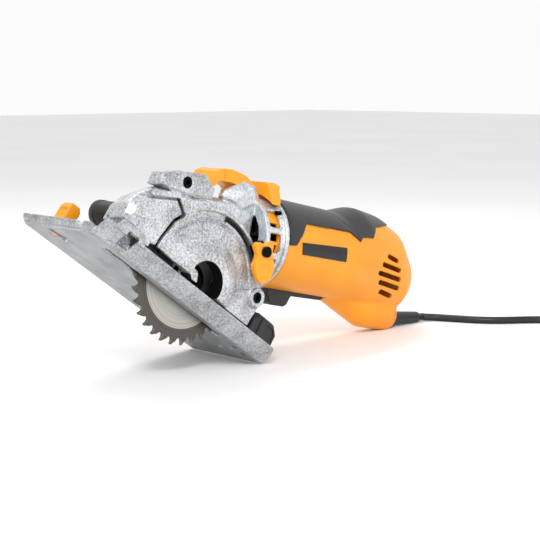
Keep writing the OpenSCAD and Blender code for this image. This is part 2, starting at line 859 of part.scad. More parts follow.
module plunge_release() {
  color("#f6a01e") in_head() difference() {
    across(release_y[0], release_y[1])
      polygon([
        [12, 64], [14, 71.5], [19, 75.5], [37, 78.5], [50, 76], [58, 71], [59.5, 66.6],
        [57, 64], [51, 64], [46, 68], [38, 70], [22, 69], [17, 64]
      ]);
    drum(1.5 + running, 0, 60, release_pin_at);
    // Thumb groove across the pad.
    translate([24, release_y[0] - 1, 84]) rotate([-90, 0, 0]) cylinder(h = 30, r = 8.2);
  }
}

module release_pin() {
  color("#8f9296") in_head()
    drum(1.5, release_y[0] - 2.6, release_y[1] + 2.6, release_pin_at);
}

lock_at = [11, 14];
lock_stem_r = 2;
lock_travel = 3;

module spindle_lock() {
  color("#1b1b1d") in_head() {
    drum(5.5, case_far + lock_travel + gap, case_far + lock_travel + gap + 4, lock_at);
    drum(lock_stem_r, spur_y + spur_w + lock_travel + gap, case_far + 5, lock_at);
  }
}

// ---------- depth stop ----------

stop_a = 56;                 // place of the stop on the guard rim when plunged
stop_r = 49.2;
stop_at = stop_r * [cos(stop_a), sin(stop_a)];
bolt_r = 2;

module depth_stop() {
  color("#3a3b3f") in_plate() difference() {
    across(-cover_y - 4.6, -cover_y - 0.3)
      translate(stop_at) rotate(stop_a - 90) square([11, 9], center = true);
    drum(bolt_r + running, -40, 0, stop_at);
  }
}

module depth_bolt() {
  color("#18181a") in_plate() {
    drum(bolt_r, -cover_y - 9.6, -cover_y - 0.3, stop_at);
    drum(3.6, -cover_y - 11.4, -cover_y - 9.6, stop_at);
  }
}

module depth_lever() {
  color("#f6a01e") in_plate() difference() {
    across(-cover_y - 9.4, -cover_y - 5) translate(stop_at) rotate(-pitch)
      polygon([
        [-8.5, 5], [-4, 6.5], [0, 4.5], [5, 6], [7.5, 3], [7, -6], [8, -12], [2, -20],
        [-6, -20], [-10, -8], [-6.5, -2]
      ]);
    drum(bolt_r + running, -40, 0, stop_at);
  }
}

// ---------- blade and arbor ----------

function blade_points() = [
  for (i = [0 : teeth - 1]) each [
    for (p = [[0, 1], [0.16, 0.985], [0.4, 0.945], [0.62, 0.905], [0.86, 0.915],
              [0.97, 0.94]])
      blade_r * p[1] * [cos(360 * (i + p[0]) / teeth), sin(360 * (i + p[0]) / teeth)]
  ]
];

module blade() {
  color("#7a756f") in_plate() across(-blade_t / 2, blade_t / 2) difference() {
    polygon(blade_points());
    circle(r = arbor_r);
  }
}

module arbor_shaft() {
  color("#9a9da1") in_plate() difference() {
    union() {
      drum(arbor_r, -blade_t / 2 - 3, case_far - shell_t - 0.2);
      drum(arbor_r + 1.5, blade_t / 2 + 3.6, guard_far + shell_t - 0.3);
    }
    drum(2.6, -10, 12);
  }
}

module inner_flange() {
  color("#6f7276") in_plate()
    tube(flange_d / 2, arbor_r, blade_t / 2, blade_t / 2 + 3.6);
}

module outer_flange() {
  color("#141416") in_plate() difference() {
    union() {
      drum(flange_d / 2, -blade_t / 2 - 3, -blade_t / 2);
      drum(7.5, -blade_t / 2 - 5, -blade_t / 2 - 3);
    }
    drum(arbor_r, -20, 5);
  }
}

module blade_bolt() {
  color("#3b3c40") in_plate() difference() {
    union() {
      drum(6.2, -blade_t / 2 - 9, -blade_t / 2 - 5);
      drum(arbor_r - 1, -blade_t / 2 - 5.1, -blade_t / 2 - 3);
      drum(2.55, -blade_t / 2 - 4, 8);
    }
    translate([0, -blade_t / 2 - 10, 0]) rotate([-90, 0, 0])
      cylinder(h = 4, r = 2.9, $fn = 6);
  }
}

module spur_gear() {
  color("#7d8084") in_head() difference() {
    across(spur_y, spur_y + spur_w) polygon(toothed(22, spur_gear_r - 1.5, spur_gear_r));
    drum(arbor_r, 0, 60);
  }
}

module idler_gear() {
  color("#85888c") in_head() difference() {
    across(spur_y, spur_y + spur_w)
      translate(idler_at) polygon(toothed(16, idler_r - 1.5, idler_r));
    drum(idler_pin_r + running, 0, 60, idler_at);
  }
}

module countershaft() {
  color("#85888c") in_head() {
    drum(4, guard_far + 0.3, case_far - shell_t - 0.3, [0, barrel_z]);
    across(spur_y, spur_y + spur_w)
      translate([0, barrel_z]) polygon(toothed(16, spur_pinion_r - 1.5, spur_pinion_r));
  }
}

module bevel_wheel() {
  color("#7d8084") in_head() difference() {
    translate([0, guard_far + shell_t + 0.4, barrel_z]) rotate([-90, 0, 0])
      cylinder(h = 4, r1 = bevel_r + 1.5, r2 = bevel_r - 1.5);
    drum(4, 0, 60, [0, barrel_z]);
  }
}

// ---------- motor ----------

module motor_shaft() {
  color("#9a9da1") in_head() rod(motor_shaft_d / 2, 24, rear_bearing_x + 8);
}

module bevel_pinion() {
  color("#85888c") in_head() {
    translate([13.5, barrel_y, barrel_z]) rotate([0, 90, 0])
      cylinder(h = 9, r1 = pinion_r - 1.5, r2 = pinion_r);
    rod(motor_shaft_d / 2, 22.5, 24);
  }
}

module armature() {
  color("#8a5a34") in_head() difference() {
    rod(armature_d / 2, motor_front + 1, motor_front + stack_l - 1);
    rod(motor_shaft_d / 2, 0, 200);
    for (a = [0 : 30 : 330])
      translate([motor_front, barrel_y, barrel_z]) rotate([a, 0, 0])
        translate([-1, -0.8, armature_d / 2 - 1.4]) cube([stack_l + 2, 1.6, 3]);
  }
}

module commutator() {
  color("#b87333") in_head() sleeve(9, motor_shaft_d / 2, comm_x, comm_x + 12);
}

module fan() {
  color("#2a2b2e") in_head() {
    sleeve(fan_r, motor_shaft_d / 2, barrel_x + 8.5, barrel_x + 10.5);
    for (a = [0 : 30 : 330])
      translate([barrel_x + 2, barrel_y, barrel_z]) rotate([a, 0, 0])
        translate([0, -0.7, 9]) cube([6.6, 1.4, fan_r - 10]);
    sleeve(10, motor_shaft_d / 2, barrel_x + 2, barrel_x + 8.6);
  }
}

// ---------- cord ----------

module relief_place() {
  translate([relief_x, relief_y, relief_z]) rotate([0, 90 + relief_drop, 0]) children();
}

module strain_relief() {
  color("#17171a") relief_place() difference() {
    union() {
      cylinder(h = relief_l - 3, r1 = 5.6, r2 = cord_r + 1.6);
      translate([0, 0, relief_l - 3]) cylinder(h = 3, r1 = cord_r + 1.6, r2 = cord_r + 0.6);
    }
    translate([0, 0, -1]) cylinder(h = relief_l + 2, r = cord_r + 0.02);
  }
}

// Smooth route through the lead's points: unit direction and side vectors.
function relief_point(s) =
  [relief_x + s * cos(relief_drop), relief_y, relief_z - s * sin(relief_drop)];
ROUTE = concat([for (s = [4, 18, relief_l, relief_l + 6]) relief_point(s)], LEAD);
function unit(v) = v / norm(v);
function heading(i) = unit(ROUTE[min(i + 1, len(ROUTE) - 1)] - ROUTE[max(i - 1, 0)]);
function spline(a, b, c, d, t) =
  0.5 * ((2 * b) + (c - a) * t + (2 * a - 5 * b + 4 * c - d) * t * t
         + (3 * b - a - 3 * c + d) * t * t * t);
last = len(ROUTE) - 1;
FINE = [
  for (i = [0 : last - 1], k = [0 : 2])
    spline(ROUTE[max(i - 1, 0)], ROUTE[i], ROUTE[i + 1], ROUTE[min(i + 2, last)], k / 3),
  ROUTE[last]
];
sides = 10;
function fine_way(i) = unit(FINE[min(i + 1, len(FINE) - 1)] - FINE[max(i - 1, 0)]);
function side_of(d) = unit(cross(d, [0, 0, 1]));

module cord_lead() {
  rings = [
    for (i = [0 : len(FINE) - 1])
      let (d = fine_way(i), s = side_of(d), u = cross(s, d))
        for (k = [0 : sides - 1])
          FINE[i] + cord_r * (cos(360 * k / sides) * s + sin(360 * k / sides) * u)
  ];
  n = len(FINE);
  walls = [
    for (i = [0 : n - 2], k = [0 : sides - 1])
      [i * sides + k, i * sides + (k + 1) % sides,
       (i + 1) * sides + (k + 1) % sides, (i + 1) * sides + k]
  ];
  ends = [
    [for (k = [sides - 1 : -1 : 0]) k],
    [for (k = [0 : sides - 1]) (n - 1) * sides + k]
  ];
  color("#17171a") polyhedron(points = rings, faces = concat(ends, walls));
}

coil_w = coil_turns_wide * cord_d;
coil_h = coil_turns_high * cord_d;

module cord_coil() {
  color("#17171a") translate([coil_at.x, coil_at.y, 0]) rotate_extrude()
    translate([coil_d / 2 - coil_w / 2, 0]) square([coil_w, coil_h]);
}

// The plug lies on the coil and the cord runs into it along the coil, pins towards +Y.
plug_w = 16;
plug_l = 30;
plug_tail = 6;
plug_at = [coil_at.x + coil_d / 2, coil_at.y + plug_tail + plug_l / 2, coil_h];

module plug() {
  color("#17171a") translate(plug_at) {
    translate([-plug_w / 2, -plug_l / 2, 0]) cube([plug_w, plug_l, 13]);
    translate([-5, -plug_l / 2 - plug_tail, 2]) cube([10, plug_tail, 9]);
  }
}

module plug_pins() {
  color("#c9b26a") for (x = [-4.5, 4.5])
    translate(plug_at + [x, plug_l / 2, 6.5]) rotate([-90, 0, 0])
      cylinder(h = 14, r = 2, $fn = 24);
}

base_plate();
hinge_pin();
hinge_spring();
inner_guard();
rear_stop_block();
block_screws();
guide_knob();
guard_body();
guard_cover();
cover_screws();
dust_port();
gear_case();
gear_case_baffle();
case_screws();
shaft_bearings();
counter_bushes();
barrel_near();
barrel_far();
grip_cover();
name_badge();
housing_screws();
motor_end_plate();
motor_bearings();
stator();
brush_holders();
brushes();
switch_body();
cord_clamp();
strain_relief();
cord_lead();
cord_coil();
plug();
plug_pins();
trigger();
trigger_pin();
plunge_release();
release_pin();
spindle_lock();
depth_stop();
depth_bolt();
depth_lever();
blade();
arbor_shaft();
inner_flange();
outer_flange();
blade_bolt();
spur_gear();
countershaft();
bevel_wheel();
idler_gear();
idler_pin();
motor_shaft();
armature();
commutator();
fan();
bevel_pinion();
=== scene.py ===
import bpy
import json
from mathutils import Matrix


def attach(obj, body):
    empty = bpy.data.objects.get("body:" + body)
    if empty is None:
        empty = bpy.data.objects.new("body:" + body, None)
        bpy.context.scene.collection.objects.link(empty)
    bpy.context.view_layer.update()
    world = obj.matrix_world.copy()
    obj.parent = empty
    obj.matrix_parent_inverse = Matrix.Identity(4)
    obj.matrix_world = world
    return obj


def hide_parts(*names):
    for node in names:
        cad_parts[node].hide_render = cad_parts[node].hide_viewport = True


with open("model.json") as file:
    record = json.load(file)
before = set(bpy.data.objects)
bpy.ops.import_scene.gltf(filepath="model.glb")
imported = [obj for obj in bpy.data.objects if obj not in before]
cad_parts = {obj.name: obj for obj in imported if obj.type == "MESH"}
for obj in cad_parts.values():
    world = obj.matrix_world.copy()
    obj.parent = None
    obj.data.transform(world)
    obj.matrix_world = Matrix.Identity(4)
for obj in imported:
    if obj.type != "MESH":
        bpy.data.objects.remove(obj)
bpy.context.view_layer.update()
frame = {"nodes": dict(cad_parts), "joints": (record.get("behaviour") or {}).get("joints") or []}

import json
import math

import bpy
from mathutils import Matrix, Vector

# ---------- sizes, in millimetres unless a name says otherwise ----------

MM = 0.001
BLADE_R = 42.5
TEETH = 30
COVER_Y = 17.6  # how far the cover's face stands out from the blade
ACCESS_R = 14.5  # hole for reaching the blade bolt
LOW_SCREW = (46, 15.5)
CLAMP_SCREW = (-48, 45)
DUST_AT = (-53, 14)
DUST_BORE_R = 6.75
KNOB_AT = (-75, 44)
STOP_PATH_R = 49.2
STOP_ANGLE = math.radians(56)
BARREL_Y = 24
BARREL_Z = 34.5
BARREL_R = 31.5
BARREL_X = 80
SHELL_T = 2.5
GRIP_T = 1.3
PIN_HOLE_R = 1.55
TRIGGER_PIN = (144, 6.2)
RELEASE_PIN = (54, 66)
HEEL_AT = (222.5, -1.5)
HEEL_R = 11
CORD_D = 5.6

# ---------- the two tilted frames of the saw ----------

JOINTS = {joint["name"]: joint for joint in frame["joints"]}
ARBOR = Vector(JOINTS["arbor_spin"]["pos_m"])
ACROSS = Vector((0, 1, 0))
BARREL_WAY = Vector(JOINTS["motor_spin"]["axis"]).normalized()
PLATE_UP = Vector(JOINTS["guide_knob_turn"]["axis"]).normalized()


def frame_at(x_way, z_way):
    """From millimetres in a tilted frame, its origin on the arbor, to metres in the row frame."""
    columns = Matrix((x_way * MM, ACROSS * MM, z_way * MM)).transposed()
    return Matrix.Translation(ARBOR) @ columns.to_4x4()


PLATE = frame_at(ACROSS.cross(PLATE_UP), PLATE_UP)
HEAD = frame_at(BARREL_WAY, BARREL_WAY.cross(ACROSS))
ROW = Matrix.Scale(MM, 4)

# ---------- camera ----------

CAMERA_AZIMUTH = math.radians(-43.05)
CAMERA_ELEVATION = math.radians(8.08)
CAMERA_DISTANCE = 0.8504
CAMERA_RIGHT = 0.0550
CAMERA_UP = 0.0065


def add_camera():
    cos_az, sin_az = math.cos(CAMERA_AZIMUTH), math.sin(CAMERA_AZIMUTH)
    cos_el, sin_el = math.cos(CAMERA_ELEVATION), math.sin(CAMERA_ELEVATION)
    right = Vector((cos_az, sin_az, 0))
    back = Vector((sin_az * cos_el, -cos_az * cos_el, sin_el))
    up = back.cross(right)
    place = ARBOR + right * CAMERA_RIGHT + up * CAMERA_UP + back * CAMERA_DISTANCE
    turn = Matrix((right, up, back)).transposed().to_4x4()
    bpy.ops.object.camera_add()
    camera = bpy.context.object
    camera.matrix_world = Matrix.Translation(place) @ turn
    camera.data.lens = 87.9
    camera.data.sensor_width = 36
    camera.data.clip_start = 0.01
    bpy.context.scene.camera = camera


# ---------- small modelling steps ----------


def clear():
    bpy.ops.object.select_all(action="DESELECT")


def pick(obj, *others):
    clear()
    for each in (obj, *others):
        each.select_set(True)
    bpy.context.view_layer.objects.active = obj


def settle(obj):
    """Puts the object's place into its mesh."""
    pick(obj)
    bpy.ops.object.transform_apply(location=True, rotation=True, scale=True)
    return obj


def edit(obj, *steps):
    """Runs edit-mode steps with everything selected."""
    pick(obj)
    bpy.ops.object.mode_set(mode="EDIT")
    for step in steps:
        bpy.ops.mesh.select_all(action="SELECT")
        step()
    bpy.ops.object.mode_set(mode="OBJECT")
    return obj


def outwards():
    bpy.ops.mesh.normals_make_consistent(inside=False)


def prism(outline, low, high, way="y"):
    """An outline pulled to a solid: x-z points along y, y-z along x or x-y along z."""
    clear()
    bpy.ops.mesh.primitive_circle_add(vertices=len(outline), fill_type="NGON")
    obj = bpy.context.object
    spots = {"x": lambda a, b: (low, a, b), "y": lambda a, b: (a, low, b), "z": lambda a, b: (a, b, low)}
    for vertex, point in zip(obj.data.vertices, outline):
        vertex.co = spots[way](*point)
    move = [high - low if axis == way else 0 for axis in "xyz"]
    pull = lambda: bpy.ops.mesh.extrude_region_move(TRANSFORM_OT_translate={"value": move})
    return edit(obj, pull, outwards)


def drum(radius, y0, y1, at=(0, 0), far_radius=None, vertices=96):
    """A cylinder or cone across the saw."""
    clear()
    bpy.ops.mesh.primitive_cone_add(
        vertices=vertices, radius1=radius, radius2=radius if far_radius is None else far_radius,
        depth=y1 - y0, location=(at[0], (y0 + y1) / 2, at[1]), rotation=(-math.pi / 2, 0, 0))
    return settle(bpy.context.object)


def rod(radius, x0, x1, at=(BARREL_Y, BARREL_Z), far_radius=None, vertices=96):
    """A cylinder or cone along the saw, its axis at y, z."""
    clear()
    bpy.ops.mesh.primitive_cone_add(
        vertices=vertices, radius1=radius, radius2=radius if far_radius is None else far_radius,
        depth=x1 - x0, location=((x0 + x1) / 2, at[0], at[1]), rotation=(0, math.pi / 2, 0))
    return settle(bpy.context.object)


def post(radius, z0, z1, at, far_radius=None, vertices=64):
    """A cylinder or cone along z, its axis at x, y."""
    clear()
    bpy.ops.mesh.primitive_cone_add(
        vertices=vertices, radius1=radius, radius2=radius if far_radius is None else far_radius,
        depth=z1 - z0, location=(at[0], at[1], (z0 + z1) / 2))
    return settle(bpy.context.object)


def block(low, high):
    """A box between two corners."""
    clear()
    middle = [(a + b) / 2 for a, b in zip(low, high)]
    sides = [b - a for a, b in zip(low, high)]
    bpy.ops.mesh.primitive_cube_add(size=1, location=middle, scale=sides)
    return settle(bpy.context.object)


def ball(radius, at, squash=(1, 1, 1)):
    clear()
    bpy.ops.mesh.primitive_uv_sphere_add(
        segments=48, ring_count=24, radius=radius, location=at, scale=squash)
    return settle(bpy.context.object)


def joined(*parts):
    pick(*parts)
    bpy.ops.object.join()
    return parts[0]


def hull(*parts):
    return edit(joined(*parts), bpy.ops.mesh.convex_hull, outwards)


def modify(obj, kind, **settings):
    pick(obj)
    modifier = obj.modifiers.new(kind.lower(), kind)
    for key, value in settings.items():
        setattr(modifier, key, value)
    bpy.ops.object.modifier_apply(modifier=modifier.name)
    return obj


def combine(obj, operation, tools):
    for tool in tools:
        modify(obj, "BOOLEAN", object=tool, operation=operation, solver="EXACT")
        bpy.data.objects.remove(tool)
    return obj


def add(obj, *tools):
    return combine(obj, "UNION", tools)


def cut(obj, *tools):
    return combine(obj, "DIFFERENCE", tools)


def keep(obj, *tools):
    return combine(obj, "INTERSECT", tools)


def soften(obj, voxel, rounds):
    """Rounds every edge and corner, as sand or a mould radius leaves it."""
    modify(obj, "REMESH", mode="VOXEL", voxel_size=voxel)
    return modify(obj, "SMOOTH", factor=0.5, iterations=rounds)


def round_edges(obj, width, segments=3, angle=30):
    edit(obj, lambda: bpy.ops.mesh.remove_doubles(threshold=0.002))
    return modify(obj, "BEVEL", width=width, segments=segments, limit_method="ANGLE",
                  angle_limit=math.radians(angle), miter_outer="MITER_ARC")


def copy_of(node, place):
    """A merged copy of a CAD node, in a tilted frame's millimetres."""
    source = frame["nodes"][node]
    obj = bpy.data.objects.new(node + "_copy", source.data.copy())
    bpy.context.scene.collection.objects.link(obj)
    obj.matrix_world = place.inverted()
    settle(obj)
    return edit(obj, lambda: bpy.ops.mesh.remove_doubles(threshold=0.005),
                lambda: bpy.ops.mesh.dissolve_limited(angle_limit=math.radians(0.3)))


def finished(obj, name, place, body, material, replaces=(), sharp=35):
    """Sets a piece in its place, with its finish, its body and the CAD nodes it stands for."""
    obj.name = name
    obj.data.name = name
    obj.matrix_world = place
    settle(obj)
    bpy.ops.object.shade_smooth_by_angle(angle=math.radians(sharp))
    obj.data.materials.clear()
    obj.data.materials.append(material)
    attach(obj, body)
    if replaces:
        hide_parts(*replaces)
    return obj


# ---------- materials ----------


def linear(code):
    """Linear colour of an sRGB hex code."""
    parts = [int(code[i:i + 2], 16) / 255 for i in (1, 3, 5)]
    return [*(c / 12.92 if c <= 0.04045 else ((c + 0.055) / 1.055) ** 2.4 for c in parts), 1]


def node(tree, kind, inputs=None, **settings):
    """Adds a node with its settings, values and links, and gives it back."""
    made = tree.nodes.new(kind)
    for key, value in settings.items():
        setattr(made, key, value)
    for key, value in (inputs or {}).items():
        if isinstance(value, bpy.types.NodeSocket):
            tree.links.new(value, made.inputs[key])
        else:
            made.inputs[key].default_value = value
    return made


def per_mm(size):
    """Texture scale of a pattern whose features are this many millimetres across."""
    return 1 / (size * MM)


def material(name, metallic=0.0, roughness=0.5, **sockets):
    """A new material, with the tree, its shader and object coordinates."""
    made = bpy.data.materials.new(name)
    made.use_nodes = True
    tree = made.node_tree
    shader = tree.nodes["Principled BSDF"]
    shader.inputs["Metallic"].default_value = metallic
    shader.inputs["Roughness"].default_value = roughness
    for key, value in sockets.items():
        shader.inputs[key.replace("_", " ")].default_value = value
    place = node(tree, "ShaderNodeTexCoord").outputs["Object"]
    return made, tree, shader, place


def colour_stops(ramp, dark, light, low, high):
    """Sets a ramp's two colours from hex codes."""
    ends = ramp.color_ramp.elements
    ends[0].position, ends[1].position = low, high
    ends[0].color, ends[1].color = linear(dark), linear(light)
    return ramp.outputs["Color"]


def wire(tree, shader, **links):
    """Joins node outputs to the shader's sockets."""
    for key, output in links.items():
        tree.links.new(output, shader.inputs[key.replace("_", " ")])


def cast_aluminium(name, dark, light, rough, grain_mm, depth_mm):
    """Cast and shot-blasted aluminium: a bright grey skin, pitted finely all over, that glitters."""
    made, tree, shader, place = material(name, metallic=0.72)
    grain = node(tree, "ShaderNodeTexNoise", {
        "Vector": place, "Scale": per_mm(grain_mm), "Detail": 4.0, "Roughness": 0.72}).outputs["Fac"]
    flow = node(tree, "ShaderNodeTexNoise", {
        "Vector": place, "Scale": per_mm(14), "Detail": 2.0}).outputs["Fac"]
    mixed = node(tree, "ShaderNodeMix", {
        "Factor": 0.3, 2: grain, 3: flow}, data_type="FLOAT").outputs[0]
    ramp = node(tree, "ShaderNodeValToRGB", {"Fac": mixed})
    spread = node(tree, "ShaderNodeMapRange", {
        "Value": grain, "From Min": 0.3, "From Max": 0.7,
        "To Min": rough - 0.08, "To Max": rough + 0.14})
    pits = node(tree, "ShaderNodeBump", {"Height": grain, "Distance": depth_mm * MM})
    wire(tree, shader, Base_Color=colour_stops(ramp, dark, light, 0.4, 0.6),
         Roughness=spread.outputs["Result"], Normal=pits.outputs["Normal"])
    return made


def milled_aluminium(name):
    """The sole's machined face: satin grey, clouded from handling, with faint lines along the cut."""
    made, tree, shader, place = material(name, metallic=0.6)
    turned = node(tree, "ShaderNodeMapping", {
        "Vector": place, "Rotation": (0, math.asin(PLATE_UP.x), 0),
        "Scale": (0.05, 1, 1)}).outputs["Vector"]
    lines = node(tree, "ShaderNodeTexNoise", {
        "Vector": turned, "Scale": per_mm(0.9), "Detail": 2.0}).outputs["Fac"]
    cloud = node(tree, "ShaderNodeTexNoise", {
        "Vector": place, "Scale": per_mm(16), "Detail": 5.0, "Roughness": 0.6}).outputs["Fac"]
    ramp = node(tree, "ShaderNodeValToRGB", {"Fac": cloud})
    spread = node(tree, "ShaderNodeMapRange", {"Value": lines, "To Min": 0.4, "To Max": 0.58})
    cut_marks = node(tree, "ShaderNodeBump", {"Height": lines, "Distance": 0.02 * MM})
    wire(tree, shader, Base_Color=colour_stops(ramp, "#8E9091", "#A9ABAC", 0.35, 0.65),
         Roughness=spread.outputs["Result"], Normal=cut_marks.outputs["Normal"])
    return made


def moulded_plastic(name, dark, light, rough, texture_mm, depth_mm, coat=0.0):
    """Injection-moulded plastic: even colour and a spark-eroded texture, drawn coarse enough to show."""
    made, tree, shader, place = material(name, roughness=rough, IOR=1.53, Coat_Weight=coat,
                                         Coat_Roughness=0.25)
    texture = node(tree, "ShaderNodeTexNoise", {
        "Vector": place, "Scale": per_mm(texture_mm), "Detail": 2.0}).outputs["Fac"]
    cloud = node(tree, "ShaderNodeTexNoise", {
        "Vector": place, "Scale": per_mm(30), "Detail": 2.0}).outputs["Fac"]
    ramp = node(tree, "ShaderNodeValToRGB", {"Fac": cloud})
    spread = node(tree, "ShaderNodeMapRange", {
        "Value": texture, "To Min": rough - 0.04, "To Max": rough + 0.06})
    skin = node(tree, "ShaderNodeBump", {"Height": texture, "Distance": depth_mm * MM})
    wire(tree, shader, Base_Color=colour_stops(ramp, dark, light, 0.35, 0.65),
         Roughness=spread.outputs["Result"], Normal=skin.outputs["Normal"])
    return made


def soft_rubber(name, dark, light):
    """Overmoulded TPE: charcoal, matt, with a leathery micro texture and a faint sheen."""
    made, tree, shader, place = material(name, roughness=0.5, IOR=1.5, Sheen_Weight=0.12,
                                         Sheen_Roughness=0.5)
    pebble = node(tree, "ShaderNodeTexVoronoi", {
        "Vector": place, "Scale": per_mm(0.9)}).outputs["Distance"]
    cloud = node(tree, "ShaderNodeTexNoise", {"Vector": place, "Scale": per_mm(24)}).outputs["Fac"]
    ramp = node(tree, "ShaderNodeValToRGB", {"Fac": cloud})
    leather = node(tree, "ShaderNodeBump", {"Height": pebble, "Distance": 0.025 * MM})
    wire(tree, shader, Base_Color=colour_stops(ramp, dark, light, 0.35, 0.65),
         Normal=leather.outputs["Normal"])
    return made


def steel(name, dark, light, rough, line_mm=0.5):
    """Turned or ground steel: metal with fine tool marks that break up the highlights."""
    made, tree, shader, place = material(name, metallic=1.0)
    marks = node(tree, "ShaderNodeTexNoise", {
        "Vector": place, "Scale": per_mm(line_mm), "Detail": 3.0}).outputs["Fac"]
    patch = node(tree, "ShaderNodeTexNoise", {
        "Vector": place, "Scale": per_mm(6), "Detail": 3.0}).outputs["Fac"]
    ramp = node(tree, "ShaderNodeValToRGB", {"Fac": patch})
    spread = node(tree, "ShaderNodeMapRange", {
        "Value": marks, "To Min": rough - 0.06, "To Max": rough + 0.08})
    grooves = node(tree, "ShaderNodeBump", {"Height": marks, "Distance": 0.008 * MM})
    wire(tree, shader, Base_Color=colour_stops(ramp, dark, light, 0.3, 0.7),
         Roughness=spread.outputs["Result"], Normal=grooves.outputs["Normal"])
    return made


RIM_R = 31.5 * MM  # where the blade's bright middle meets its darker rim


def ground_blade(name):
    """Saw steel ground on a turntable: fine rings, a brushed bright middle and a heat-browned rim."""
    made, tree, shader, place = material(name, metallic=0.85)
    centred = node(tree, "ShaderNodeVectorMath", {
        0: place, 1: ARBOR}, operation="SUBTRACT").outputs["Vector"]
    radius = node(tree, "ShaderNodeVectorMath", {0: centred}, operation="LENGTH").outputs["Value"]
    ring_place = node(tree, "ShaderNodeMath", {
        0: radius, 1: per_mm(0.7)}, operation="MULTIPLY").outputs[0]
    rings = node(tree, "ShaderNodeTexNoise", {
        "W": ring_place, "Scale": 1.0, "Detail": 3.0}, noise_dimensions="1D").outputs["Fac"]
    inner = node(tree, "ShaderNodeMapRange", {
        "Value": radius, "From Min": RIM_R + 0.4 * MM, "From Max": RIM_R}).outputs["Result"]
    rim = node(tree, "ShaderNodeValToRGB", {"Fac": rings})
    disc = node(tree, "ShaderNodeValToRGB", {"Fac": rings})
    colour = node(tree, "ShaderNodeMix", {
        "Factor": inner, 6: colour_stops(rim, "#4E4A46", "#6A6560", 0.3, 0.7),
        7: colour_stops(disc, "#A19E99", "#C4C1BC", 0.3, 0.7)}, data_type="RGBA").outputs[2]
    spread = node(tree, "ShaderNodeMapRange", {"Value": rings, "To Min": 0.34, "To Max": 0.5})
    grooves = node(tree, "ShaderNodeBump", {"Height": rings, "Distance": 0.01 * MM})
    wire(tree, shader, Base_Color=colour, Roughness=spread.outputs["Result"],
         Normal=grooves.outputs["Normal"])
    return made


def lacquered_copper(name):
    """Enamelled winding wire, its strands drawn a little coarse so that they show."""
    made, tree, shader, place = material(name, metallic=0.9, roughness=0.35)
    wires = node(tree, "ShaderNodeTexWave", {
        "Vector": place, "Scale": per_mm(2.4), "Distortion": 1.0}).outputs["Fac"]
    ramp = node(tree, "ShaderNodeValToRGB", {"Fac": wires})
    strands = node(tree, "ShaderNodeBump", {"Height": wires, "Distance": 0.1 * MM})
    wire(tree, shader, Base_Color=colour_stops(ramp, "#6E3A1C", "#B86B38", 0.3, 0.7),
         Normal=strands.outputs["Normal"])
    return made


CAST = cast_aluminium("blasted_cast_aluminium", "#85878A", "#DEE0E3", 0.38, 1.4, 0.22)
CAST_COOL = cast_aluminium("blasted_gear_case_aluminium", "#A9AFB4", "#E8ECEF", 0.36, 1.5, 0.12)
SOLE_EDGE = cast_aluminium("blasted_sole_aluminium", "#8A8C8F", "#CDCFD1", 0.42, 1.4, 0.16)
SOLE_FACE = milled_aluminium("milled_sole_aluminium")
ORANGE = moulded_plastic("moulded_orange_abs", "#F09600", "#F79E00", 0.4, 0.8, 0.012, coat=0.03)
RUBBER = soft_rubber("overmoulded_charcoal_tpe", "#15161A", "#1D1E22")
BLACK_NYLON = moulded_plastic("moulded_black_nylon", "#0B0B0C", "#131315", 0.42, 0.7, 0.015)
GLOSS_BLACK = moulded_plastic("printed_black_badge", "#0C0C0D", "#121213", 0.25, 0.7, 0.004)
BLACK_OXIDE = steel("black_oxide_steel", "#0D0D0E", "#1A1A1C", 0.38)
GROUND_STEEL = steel("ground_steel", "#7E8286", "#A9ACB0", 0.3)
BLADE_STEEL = ground_blade("ground_saw_steel")
CARBIDE = steel("brazed_carbide", "#4C5046", "#7C8174", 0.34)
BRONZE = steel("sintered_bronze", "#7A5C32", "#A37F4A", 0.45)
COPPER = lacquered_copper("lacquered_copper_wire")
CARBON = moulded_plastic("pressed_carbon", "#151515", "#222222", 0.6, 0.6, 0.02)
BRASS = steel("nickel_brass", "#B9A25C", "#D8C484", 0.25)
CORD_SHEATH = moulded_plastic("pvc_cord_sheath", "#0E0E10", "#18181A", 0.38, 0.8, 0.015)

# The finish of every CAD node, shown or replaced.
NODE_MATERIALS = {
    CAST: ["guard_body", "guard_cover"],
    CAST_COOL: ["gear_case"],
    SOLE_FACE: ["base_plate"],
    ORANGE: ["barrel_near", "barrel_far", "plunge_release", "depth_lever", "guide_knob",
             "gear_case_baffle"],
    RUBBER: ["grip_cover"],
    BLACK_NYLON: ["rear_stop_block", "dust_port", "trigger", "spindle_lock", "switch_body", "cord_clamp",
                  "motor_end_plate", "fan", "name_badge", "plug", "brush_holders"],
    BLACK_OXIDE: ["cover_screws", "case_screws", "housing_screws", "block_screws", "depth_bolt",
                  "outer_flange", "blade_bolt", "depth_stop"],
    GROUND_STEEL: ["hinge_pin", "hinge_spring", "inner_guard", "idler_pin", "shaft_bearings",
                   "motor_bearings", "trigger_pin", "release_pin", "inner_flange", "arbor_shaft",
                   "spur_gear", "countershaft", "bevel_wheel", "idler_gear", "motor_shaft",
                   "bevel_pinion", "stator"],
    BLADE_STEEL: ["blade"],
    BRONZE: ["counter_bushes"],
    COPPER: ["armature", "commutator"],
    CARBON: ["brushes"],
    BRASS: ["plug_pins"],
    CORD_SHEATH: ["cord_lead", "cord_coil", "strain_relief"],
}


def dress_cad_nodes():
    for made, names in NODE_MATERIALS.items():
        for name in names:
            mesh = frame["nodes"][name].data
            mesh.materials.clear()
            mesh.materials.append(made)


# ---------- the cord ----------

RELIEF_AT = (231, -4)  # root of the strain relief, in the barrel's frame
RELIEF_LENGTH = 35
RELIEF_DROP = math.radians(4.8)
COIL_AT = (280, -110)
COIL_D = 64
PLUG_AT = (312, -89, 16.8)
